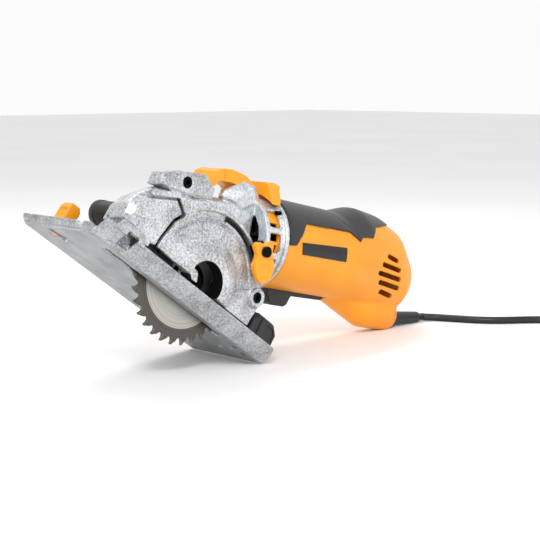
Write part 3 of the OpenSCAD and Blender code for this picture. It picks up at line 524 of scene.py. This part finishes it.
# Lead from the strain relief to the coil, in the row frame.
LEAD = [
    (177, 5, 3.2), (183, -1, 2.9), (188, -10, 2.8), (193, -20, 2.8), (199, -31, 2.8),
    (207, -41, 2.8), (217, -49, 2.8), (227, -56, 2.8), (236, -64, 2.8), (242, -75, 2.8),
    (243, -87, 2.8), (242.6, -99, 2.8),
]
# Moves from layer to layer and turn to turn of the coil: start and end in turns, then
# the change in radius and in height, both in cord diameters.
COIL_MOVES = [
    (0.75, 1.0, -1, 0), (1.75, 2.0, -1, 0), (2.5, 2.75, 0, 1), (3.25, 3.5, 1, 0), (4.25, 4.5, 1, 0),
    (5.0, 5.25, 0, 1), (5.75, 6.0, -1, 0), (6.75, 7.0, -1, 0), (7.08, 7.25, 0, 1), (7.25, 7.48, 1, 0.66),
]
COIL_TURNS = 7.5


def relief_root():
    """Where the cord leaves the barrel, in the row frame's millimetres."""
    return HEAD @ Vector((RELIEF_AT[0], BARREL_Y, RELIEF_AT[1])) / MM


def relief_way():
    return Vector((math.cos(RELIEF_DROP), 0, -math.sin(RELIEF_DROP)))


def eased(t):
    t = min(max(t, 0), 1)
    return t * t * (3 - 2 * t)


def coil_point(turns):
    """A place on the coil's middle line, counted in turns from where the lead joins it."""
    shares = [eased((turns - start) / (end - start)) for start, end, _, _ in COIL_MOVES]
    out = sum(share * move[2] for share, move in zip(shares, COIL_MOVES))
    up = sum(share * move[3] for share, move in zip(shares, COIL_MOVES))
    radius = COIL_D / 2 + CORD_D + out * CORD_D
    angle = math.pi + math.tau * turns
    return Vector((COIL_AT[0] + radius * math.cos(angle), COIL_AT[1] + radius * math.sin(angle),
                   CORD_D / 2 + up * CORD_D))


def smooth_route(points, steps):
    """Points of a smooth line through the given ones."""
    last = len(points) - 1
    route = []
    for i in range(last):
        a, b, c, d = (points[max(min(k, last), 0)] for k in (i - 1, i, i + 1, i + 2))
        for k in range(steps):
            t = k / steps
            route.append(0.5 * (2 * b + (c - a) * t + (2 * a - 5 * b + 4 * c - d) * t ** 2
                                + (3 * b - a - 3 * c + d) * t ** 3))
    return route + [points[-1]]


def cord_route():
    start = [relief_root() + relief_way() * s for s in (4, 18, RELIEF_LENGTH, RELIEF_LENGTH + 6)]
    coil = [coil_point(i / 40) for i in range(int(COIL_TURNS * 40) + 1)]
    return smooth_route(start + [Vector(p) for p in LEAD] + coil[:1], 6)[:-1] + coil


def make_plug():
    """A flat two-pin plug lying on the coil, with a ribbed tail."""
    x, y, z = PLUG_AT
    axis = (x, z + 6.5)
    body = hull(block((x - 8, y - 9, z + 1), (x + 8, y + 15, z + 12)),
                block((x - 6, y - 9, z), (x + 6, y + 15, z + 13)),
                block((x - 5, y - 15, z + 2.5), (x + 5, y - 14, z + 10.5)))
    ribs = []
    for i in range(4):
        start = y - 21 + 1.8 * (3 - i)
        ribs.append(drum(4.4 - 0.2 * i, start, start + 1, axis))
    core = drum(3.6, y - 21, y - 13, axis)
    body = round_edges(body, 0.9)
    return finished(joined(body, core, *ribs), "plug_moulding", ROW, "head",
                    CORD_SHEATH, ["plug"], 40)


def make_cord():
    route = cord_route()
    data = bpy.data.curves.new("mains_cord", "CURVE")
    data.dimensions = "3D"
    data.bevel_depth = CORD_D / 2 * MM
    data.bevel_resolution = 5
    data.use_fill_caps = True
    spline = data.splines.new("POLY")
    spline.points.add(len(route) - 1)
    for point, spot in zip(spline.points, route):
        point.co = (*(spot * MM), 1)
    cord = bpy.data.objects.new("mains_cord", data)
    bpy.context.scene.collection.objects.link(cord)
    data.materials.append(CORD_SHEATH)
    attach(cord, "head")
    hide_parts("cord_lead", "cord_coil")
    make_plug()


add_camera()
dress_cad_nodes()
make_cord()

# ---------- castings ----------


def arc_band(inner, outer, start, end, steps=24):
    """Outline of a piece of ring about the arbor, its angles in degrees."""
    angles = [math.radians(start + (end - start) * i / steps) for i in range(steps + 1)]
    outside = [(outer * math.cos(a), outer * math.sin(a)) for a in angles]
    inside = [(inner * math.cos(a), inner * math.sin(a)) for a in reversed(angles)]
    return outside + inside


def clamp_block(near, far):
    """The split block that the cover screw pulls together, with its sloping top facets."""
    outline = [(-66, 32), (-67, 40), (-57, 48), (-36, 58.5), (-25, 55), (-23, 48),
               (-31, 43.2), (-45, 37)]
    face = [(-66, 33), (-64.5, 39), (-56, 45.5), (-38, 54.5), (-33, 50), (-34, 45.5), (-45, 39.5)]
    return hull(prism(outline, near + 3, far), prism(face, near, near + 1))


def sloping_hood_front():
    """Everything behind the hood's front and upper bevels, which run in towards the far side."""
    edge = [(-75.5, -12), (-75.5, 13), (-71.5, 22), (-64, 31), (-52, 40), (-40, 47),
            (70, 115), (70, -70)]
    inset = [(-71, -12), (-71, 12), (-67.5, 19.5), (-61, 27.5), (-50, 36), (-39, 42),
             (70, 108), (70, -70)]
    rear = [(-66, -12), (-66, 10), (-62, 19), (-55, 27), (-45, 35), (-34, 42),
            (70, 108), (70, -70)]
    bevelled = hull(prism(edge, -12.6, -9), prism(inset, -16.6, -15.6), prism(rear, 29, 30))
    foot = add(block((-78, -20, -20), (-50, -9, 5)), block((-69.5, -20, -20), (-45, 30, 5)))
    return add(bevelled, foot)


def rim_gap():
    """The dark crescent between the clamp block and the rim."""
    outline = [(-52, 35.4), (-45, 41.2), (-33.7, 47), (-24, 48.7), (-15, 50.4), (-20, 47.6),
               (-27, 44.6), (-33, 41.2), (-39.6, 38.4), (-46, 36.6)]
    return prism(outline, -22, -11.5)


def behind_clamp():
    """The space over the hood behind the clamp block, which is only as deep as its screw needs."""
    outline = [(-75, 38), (-64, 36.5), (-52, 43), (-40, 50), (-26, 52.5), (-20, 54),
               (-20, 66), (-75, 66)]
    return prism(outline, -1.5, 20)


def hood_backing():
    """Thickens the hood's leading wall under its bevels, round the dust port's bore."""
    outline = [(-73.5, 4), (-73.5, 12.5), (-69.8, 21), (-62.5, 29.6), (-51, 38.4),
               (-46, 41), (-46, 4)]
    return cut(prism(outline, -14.5, 9), drum(8.6, -11, 20, DUST_AT))


def skirt_slit():
    """The long dark opening between the guard and the top of the skirt."""
    outline = [(-49.6, -7), (-49.6, -0.2), (-44, 0.4), (-14, -1.4), (-12, -3), (-12, -7)]
    return prism(outline, -22, -12)


def make_guard_body():
    body = keep(add(copy_of("guard_body", PLATE), hood_backing()), sloping_hood_front())
    body = cut(body, rim_gap(), skirt_slit(), behind_clamp())
    rib = prism([(-71, 9), (-58, 13), (-58, 14.4), (-71, 10.6)], -17, -14)
    body = soften(joined(body, rib), 0.62, 3)
    finished(body, "guard_casting", PLATE, "head", CAST, ["guard_body"], 180)


def access_hole():
    """The bolt hole's tool: round above a stepped lower lip."""
    angles = [math.radians(-12.75 + 180 * i / 40) for i in range(41)]
    round_part = [(ACCESS_R * math.cos(a), ACCESS_R * math.sin(a)) for a in angles]
    return prism(round_part + [(-10.6, 3.2), (-8.6, 1.2), (-7, -3.2)], -26, 1)


def make_guard_cover():
    """The near cover: boss, ribs, rim bead, stop slot and screw ear; the cast wall inside its access
    hole is painted black as painted shade.
    """
    angles = [math.radians(a) for a in range(36, 115, 3)]
    arc = [(47.5 * math.cos(a), 47.5 * math.sin(a)) for a in angles]
    outline = [(-44, -3.4), (51, -3.4), (52.5, 11), (49, 20.5), (43.5, 25.5), *arc, (-29, 50),
               (-36, 44), (-45, 38), (-66, 29), (-66, 24.2), (-46, 34.4), (-35.8, 28),
               (-40.4, 20.6), (-43.6, 6)]
    cover = add(prism(outline, -COVER_Y, -14.8), drum(19.5, -21.4, -17.4, far_radius=30),
                drum(17, -17.5, -10.5))
    for angle in (156, 126, 96):
        cover = add(cover, prism(arc_band(31, 38.5, angle - 1.4, angle + 1.4, 3), -19.6, -17))
    cover = add(cover, prism(arc_band(46.4, 48.6, 34, 116), -18.5, -16),
                drum(6.4, -19.1, -15, LOW_SCREW))
    ear = [(30.5, 13.7), (24.7, 7), (27.3, 4.3), (26, -5), (60, -5), (60, 24), (44.5, 22.5), (38, 17)]
    cover = cut(cover, access_hole(), prism(arc_band(42.8, 46.4, 36, 98), -30, -10),
                prism(arc_band(41.4, 46.2, 97, 131), -30, -16.1),
                prism(arc_band(38.9, 40.5, 30, 158), -30, -16.4),
                cut(prism(ear, -30, -16.3), drum(7.2, -31, -10, LOW_SCREW)))
    cover = cut(cover, rim_gap(), skirt_slit())
    cover = add(cover, clamp_block(-19.1, -6))
    cover = cut(cover, block((-90, -40, -60), (90, 5, -3.4)), drum(1.9, -30, 0, LOW_SCREW),
                drum(3.7, -30, -COVER_Y + 0.6, LOW_SCREW), drum(1.9, -30, 0, CLAMP_SCREW),
                drum(3.7, -30, -COVER_Y + 0.6, CLAMP_SCREW))
    cover = soften(cover, 0.5, 2)
    cover = finished(cover, "guard_cover_casting", PLATE, "head", CAST,
                     ["guard_cover"], 180)
    # Painted shade: the black nylon finish goes on the cast wall inside the access hole, standing in for
    # the shade that falls in the hole.
    cover.data.materials.append(BLACK_NYLON)
    to_plate = PLATE.inverted()
    for face in cover.data.polygons:
        spot = to_plate @ face.center
        face.material_index = int(math.hypot(spot.x, spot.z) < ACCESS_R + 0.7 and spot.y > -20.6)


def make_gear_case():
    """The CAD gear case with the ridge that shields the release pad."""
    ridge = hull(prism([(31, 60), (33, 64), (48, 73), (60, 71), (67, 61), (61, 54), (46, 50)], 13, 16),
                 prism([(40, 58), (48, 66), (57, 65), (60, 60), (48, 54)], 9.6, 10.6))
    case = soften(joined(copy_of("gear_case", HEAD), ridge), 0.8, 3)
    finished(case, "gear_case_casting", HEAD, "head", CAST_COOL,
             ["gear_case"], 180)


def make_sole():
    """The CAD sole, trimmed, with blasted edges and a machined underside."""
    sole = copy_of("base_plate", PLATE)
    lip_top = block((-95, -12, -10.6), (-83, 70, 0))
    guide_slot = prism([(-83, 36.6), (-81.6, 39.6), (-66, 34.6), (-67.4, 31.4)], -20, -10, "z")
    corner = cut(block((76, -30, -20), (90, -11, 0)), post(8, -25, 5, (76, -11)))
    sole = soften(cut(sole, lip_top, guide_slot, corner), 0.72, 2)
    sole = finished(sole, "sole_casting", PLATE, "base", SOLE_EDGE,
                    ["base_plate"], 180)
    sole.data.materials.append(SOLE_FACE)
    for face in sole.data.polygons:
        face.material_index = int(face.normal.dot(PLATE_UP) < -0.8)


# ---------- small mouldings on the sole and hood ----------


def make_rear_block():
    """The sole's black rear stop, its recessed face bevelled off."""
    base = prism([(53.2, -13.2), (53.2, 6), (58, 11), (73, 11), (79, 5), (79, -13.2)], -7.6, 4)
    front = hull(
        prism([(53.2, -4.4), (53.2, 5), (58, 10), (73, 10), (79, 4), (79, -4.4)], -13, -7.4),
        prism([(55, -4.4), (55, 4), (59, 8), (72, 8), (77, 3), (77, -4.4)], -17, -16))
    rib = prism([(60, -4.4), (60, 8), (62, 8), (62, -4.4)], -18, -14)
    recess = prism([(65, -2.5), (65, 5.5), (73, 5.5), (75.5, 3), (75.5, -2.5)], -20, -16.3)
    shape = cut(add(base, front, rib), recess)
    shape = cut(shape, post(1.9, -15, -3, (62, -2)), post(1.9, -15, -3, (72, -2)))
    shape = round_edges(shape, 0.5)
    finished(shape, "rear_block_moulding", PLATE, "base", BLACK_NYLON,
             ["rear_stop_block"])


def make_guide_knob():
    """The orange knob of the side guide, with a finger recess, on its flanged stem."""
    grip = hull(block((-79, 36.5, -7.2), (-70, 48, 3)), block((-78, 37.5, 5.4), (-71.5, 46.5, 6.4)))
    grip = cut(grip, prism([(38.5, -4), (46, -4), (46, 2), (38.5, 2)], -82, -78.3, "x"))
    grip = round_edges(grip, 0.9)
    flange = round_edges(post(6, -12.8, -7, KNOB_AT), 0.7)
    stem = round_edges(post(2.4, -15.6, -12.6, KNOB_AT), 0.3)
    finished(joined(grip, flange, stem), "guide_knob_moulding", PLATE, "knob", ORANGE,
             ["guide_knob"])


def make_dust_port():
    """A plain tube with a thicker lip, out of the hood's far side."""
    tube = cut(drum(8.4, 8.6, 42.5, DUST_AT), drum(DUST_BORE_R, 0, 50, DUST_AT))
    lip = cut(drum(8.8, 39.5, 44, DUST_AT), drum(DUST_BORE_R, 30, 50, DUST_AT))
    tube = round_edges(add(tube, lip), 0.5)
    finished(tube, "dust_port_moulding", PLATE, "head", BLACK_NYLON, ["dust_port"])


# ---------- blade ----------


def blade_outline():
    """Gullets and backs of the teeth: each tooth's share of a turn and its reach in blade radii."""
    points = []
    for tooth in range(TEETH):
        for share, reach in ((0, 0.992), (0.16, 0.98), (0.42, 0.945), (0.6, 0.9), (0.74, 0.885),
                             (0.88, 0.9), (0.93, 0.925)):
            angle = math.tau * (tooth + share) / TEETH
            points.append((BLADE_R * reach * math.cos(angle), BLADE_R * reach * math.sin(angle)))
    return points


def carbide_tip(number):
    """One brazed tooth tip, a little wider than the plate."""
    outline = [(BLADE_R - 4.1, -0.2), (BLADE_R, -0.4), (BLADE_R - 0.3, 1.3), (BLADE_R - 3.9, 0.9)]
    tip = prism(outline, -0.8, 0.8)
    tip.matrix_world = Matrix.Rotation(-math.tau * number / TEETH, 4, "Y")
    return round_edges(settle(tip), 0.12, 1)


def make_blade():
    """The toothed plate with its arbor bore and locating hole, and its tips as a second piece."""
    plate = cut(prism(blade_outline(), -0.6, 0.6), drum(5.1, -2, 2))
    plate = cut(plate, drum(0.9, -2, 2, (29, 12)))
    plate = round_edges(plate, 0.12, 1)
    finished(plate, "blade_plate", PLATE, "arbor", BLADE_STEEL, ["blade"])
    tips = [carbide_tip(i) for i in range(TEETH)]
    finished(joined(*tips), "blade_tips", PLATE, "arbor", CARBIDE)


# ---------- plastic housing ----------

# Place, height and radius of each round of the rear body, and how far it is narrowed sideways.
BODY_ROUNDS = [(150, BARREL_Z, BARREL_R, 1), (168, 44.6, 27.4, 0.97), (186, 43.5, 27, 0.86),
               (205, 37.5, 28, 0.72), (218, 27, 26.5, 0.6)]
# The five sloping vent slots: their two ends along the barrel, and their height.
VENTS = [(194, 207, 41), (188, 213, 34.3), (185, 216, 27.6), (189, 217, 20.9), (195, 211, 14.2)]


def housing_shape(grow):
    """The moulded outside of barrel, rear body and heel, grown by so many millimetres."""
    rounds = [ball(radius + grow, (x, BARREL_Y, z), (1, narrow, 1))
              for x, z, radius, narrow in BODY_ROUNDS]
    body = hull(*rounds)
    barrel = rod(BARREL_R + grow, BARREL_X + min(grow, 0), 152)
    bulge = hull(ball(10 + grow, (150, BARREL_Y, 13)),
                 ball(16 + grow, (197, BARREL_Y, 2), (1, 0.8, 1)),
                 ball(16 + grow, (216, BARREL_Y, 2), (1, 0.75, 1)),
                 drum(HEEL_R + grow, 18, 30, HEEL_AT))
    return soften(joined(body, barrel, bulge), 1.05, 10)


def vent_slots():
    """The vent slots, with round ends, through each side of the rear body."""
    slots = []
    for x0, x1, z in VENTS:
        for y0, y1 in ((-20, 12), (36, 70)):
            slots.append(hull(drum(1.9, y0, y1, (x0, z + 1), vertices=24),
                              drum(1.9, y0, y1, (x1, z - 1), vertices=24)))
    return joined(*slots)


def make_housing():
    """The hollow moulding, open for the trigger and the cord, split along its middle plane."""
    shell = cut(housing_shape(0), housing_shape(-SHELL_T))
    trigger_slot = block((87, 16.8, -20), (151, 31.2, 9))
    cord_mouth = rod(6.4, 223, 245, (BARREL_Y, RELIEF_AT[1]))
    shell = cut(shell, rod(BARREL_R - SHELL_T, 70, 100), vent_slots(), trigger_slot, cord_mouth)
    far = shell.copy()
    far.data = shell.data.copy()
    bpy.context.scene.collection.objects.link(far)
    seam = 0.12
    near = cut(shell, block((0, BARREL_Y - seam, -60), (300, 120, 140)))
    far = cut(far, block((0, -60, -60), (300, BARREL_Y + seam, 140)))
    finished(near, "housing_near_shell", HEAD, "head", ORANGE, ["barrel_near"], 40)
    finished(far, "housing_far_shell", HEAD, "head", ORANGE, ["barrel_far"], 40)


def make_collar():
    """The faceted orange saddle between release pad and grip, given by its three outlines."""
    side = [(68, 75.5), (78, 76.5), (85, 73), (89.5, 66), (88, 60), (76, 54), (70, 60)]
    front = [(4, 54), (5, 64), (11, 74), (15, 77), (33, 77), (37, 74), (43, 64), (44, 54)]
    above = [(66, 4), (77, 3), (79.5, 10), (85, 16), (89.5, 21), (89.5, 27), (85, 32), (79.5, 38),
             (77, 45), (66, 44)]
    collar = keep(keep(prism(side, -6, 54), prism(front, 60, 92, "x")), prism(above, 40, 90, "z"))
    collar = cut(collar, rod(BARREL_R + 1.2, 60, 80), rod(BARREL_R - 1, 79, 100))
    finished(round_edges(collar, 1.1, 4), "housing_collar", HEAD, "head", ORANGE)


def swoosh(y0, y1):
    """Tool of the narrow sweeping groove down the grip, cut into the flanks only."""
    line = [(132, 65), (138, 60), (145, 56), (152, 51)]
    outline = [(x, z + 0.7) for x, z in line] + [(x, z - 0.7) for x, z in reversed(line)]
    return cut(prism(outline, y0, y1), rod(BARREL_R - 0.2, 130, 180, (BARREL_Y, 35.5)))


def make_grip():
    """The soft skin over the top of the barrel, a shell of its own thickness."""
    region = [(80.5, 35), (87, 35.5), (98, 52), (144, 53), (154, 47.5), (157, 51.4), (170, 52.4),
              (176, 61), (190, 64), (205, 66.5), (205, 90), (80.5, 90)]
    skin = cut(keep(housing_shape(GRIP_T), prism(region, -30, 80)), housing_shape(-1.2))
    skin = cut(skin, swoosh(-14, 22), swoosh(26, 62))
    skin = soften(skin, 0.75, 3)
    finished(skin, "grip_moulding", HEAD, "head", RUBBER, ["grip_cover"], 180)


def make_badge():
    """A thin plain label wrapped round the barrel's near side."""
    outline = [(93, 38.7), (138.4, 41.4), (139, 31.2), (94.6, 30.4)]
    badge = keep(rod(BARREL_R + 0.55, 85, 150, vertices=192), prism(outline, -30, BARREL_Y - 5))
    badge = cut(badge, rod(BARREL_R - 0.6, 84, 151, vertices=192))
    finished(badge, "blank_badge", HEAD, "head", GLOSS_BLACK, ["name_badge"])


def make_trigger():
    """The paddle under the barrel, hinged at its rear end."""
    outline = [(90, 6.4), (91, 0), (95, -6.4), (97.5, -7.6), (109, -7.6), (112, -6), (115, 0.6),
               (146, 1.2), (148, 3.5), (148, 8.6), (140, 8.6), (137, 6.4)]
    lever = cut(prism(outline, 17.5, 30.5), drum(PIN_HOLE_R, 10, 40, TRIGGER_PIN))
    finished(round_edges(lever, 0.9, 4), "trigger_moulding", HEAD, "trigger_lever",
             BLACK_NYLON, ["trigger"])


def make_release_pad():
    """The arched thumb pad over the gear case, hinged at its rear end."""
    outline = [(20, 65), (20.6, 70.5), (22.6, 75), (28, 77.6), (37, 78.6), (50, 76.4),
               (58, 71.4), (59.5, 66.6), (57, 64), (51, 64), (46, 68), (38, 70), (26, 69),
               (23.5, 65)]
    pad = cut(prism(outline, 13, 35), drum(PIN_HOLE_R, 0, 60, RELEASE_PIN))
    pad = cut(pad, post(6, 60, 85, (34, 8.6)))
    finished(round_edges(pad, 1.0, 4), "release_pad_moulding", HEAD, "release_pad", ORANGE,
             ["plunge_release"])


# ---------- depth stop ----------


def make_depth_lever():
    """The two-horned clamp lever, drawn hanging straight down from its bolt."""
    outline = [(-8.6, 4.4), (-6.4, 6.6), (-3.6, 6.4), (-0.5, 4.2), (3, 5.8), (6, 6), (7.6, 3.4),
               (6.4, -1), (7.2, -6), (8.2, -12), (5, -18), (1, -20.4), (-4.6, -20.4), (-7.4, -16),
               (-9.8, -8), (-7.2, -4), (-6.4, -1)]
    hollow = [(-4, -9), (3.5, -8), (4, -13), (1, -17), (-3.5, -17), (-5.5, -12)]
    lever = cut(prism(outline, -27, -22.6), prism(hollow, -30, -26.2))
    lever.matrix_world = Matrix.Rotation(-math.asin(PLATE_UP.x), 4, "Y")
    settle(lever)
    stop = Vector((math.cos(STOP_ANGLE), 0, math.sin(STOP_ANGLE))) * STOP_PATH_R
    lever.matrix_world = Matrix.Translation(stop)
    lever = cut(settle(lever), drum(2.1, -40, 0, (stop.x, stop.z)))
    finished(round_edges(lever, 0.7), "depth_lever_moulding", PLATE, "stop_lever",
             ORANGE, ["depth_lever"])


# ---------- strain relief ----------


def make_strain_relief():
    """A smooth tapered sleeve with a collar where it leaves the barrel."""
    taper = rod(5.6, 0, RELIEF_LENGTH - 3, (0, 0), 4.4)
    nose = rod(4.4, RELIEF_LENGTH - 3, RELIEF_LENGTH, (0, 0), 3.3)
    collar = round_edges(rod(6.1, -1, 3.5, (0, 0)), 0.6)
    sleeve = soften(joined(taper, nose), 0.5, 3)
    turn = Matrix.Rotation(RELIEF_DROP, 4, "Y")
    place = Matrix.Translation(relief_root() * MM) @ turn @ Matrix.Scale(MM, 4)
    finished(joined(sleeve, collar), "cord_sleeve", place, "head", CORD_SHEATH,
             ["strain_relief"], 40)


make_guard_body()
make_guard_cover()
make_gear_case()
make_sole()
make_rear_block()
make_guide_knob()
make_dust_port()
make_blade()
make_housing()
make_collar()
make_grip()
make_badge()
make_trigger()
make_release_pad()
make_depth_lever()
make_strain_relief()

# ---------- floor and light ----------


def add_softbox(name, place, aim, size, power):
    """A rectangular white light; its place, aim and size are in metres."""
    clear()
    bpy.ops.object.light_add(type="AREA", location=place)
    light = bpy.context.object
    light.name = name
    light.data.shape = "RECTANGLE"
    light.data.size, light.data.size_y = size
    light.data.energy = power
    light.rotation_euler = (Vector(aim) - Vector(place)).to_track_quat("-Z", "Y").to_euler()


def add_floor():
    clear()
    bpy.ops.mesh.primitive_plane_add(size=12, location=(0, 0, 0))
    floor = bpy.context.object
    floor.name = "studio_floor"
    made, tree, shader, place = material("matt_white_paint", roughness=0.8)
    cloud = node(tree, "ShaderNodeTexNoise", {"Vector": place, "Scale": per_mm(400)}).outputs["Fac"]
    ramp = node(tree, "ShaderNodeValToRGB", {"Fac": cloud})
    wire(tree, shader, Base_Color=colour_stops(ramp, "#F4F4F4", "#F8F8F8", 0.3, 0.7))
    floor.data.materials.append(made)


def light_scene():
    """White walls round a darker ceiling, a key light from upper left and two fills."""
    world = bpy.data.worlds.new("studio")
    bpy.context.scene.world = world
    world.use_nodes = True
    tree = world.node_tree
    way = node(tree, "ShaderNodeTexCoord").outputs["Generated"]
    height = node(tree, "ShaderNodeSeparateXYZ", {"Vector": way}).outputs["Z"]
    ramp = node(tree, "ShaderNodeValToRGB", {"Fac": height})
    colour = colour_stops(ramp, "#FFFFFF", "#DCDCDE", 0.6, 0.85)
    tree.links.new(colour, tree.nodes["Background"].inputs["Color"])
    tree.nodes["Background"].inputs["Strength"].default_value = 0.97
    bpy.context.scene.view_settings.view_transform = "Standard"
    add_softbox("key_softbox", (-0.75, -0.75, 0.95), (-0.05, 0, 0.06), (0.35, 0.35), 8)
    add_softbox("front_fill", (0.7, -1.3, 0.5), (0.02, 0, 0.06), (0.5, 0.4), 1.5)
    add_softbox("top_strip", (0.1, 0.5, 1.1), (0, 0, 0.06), (1.0, 0.25), 5)


add_floor()
light_scene()
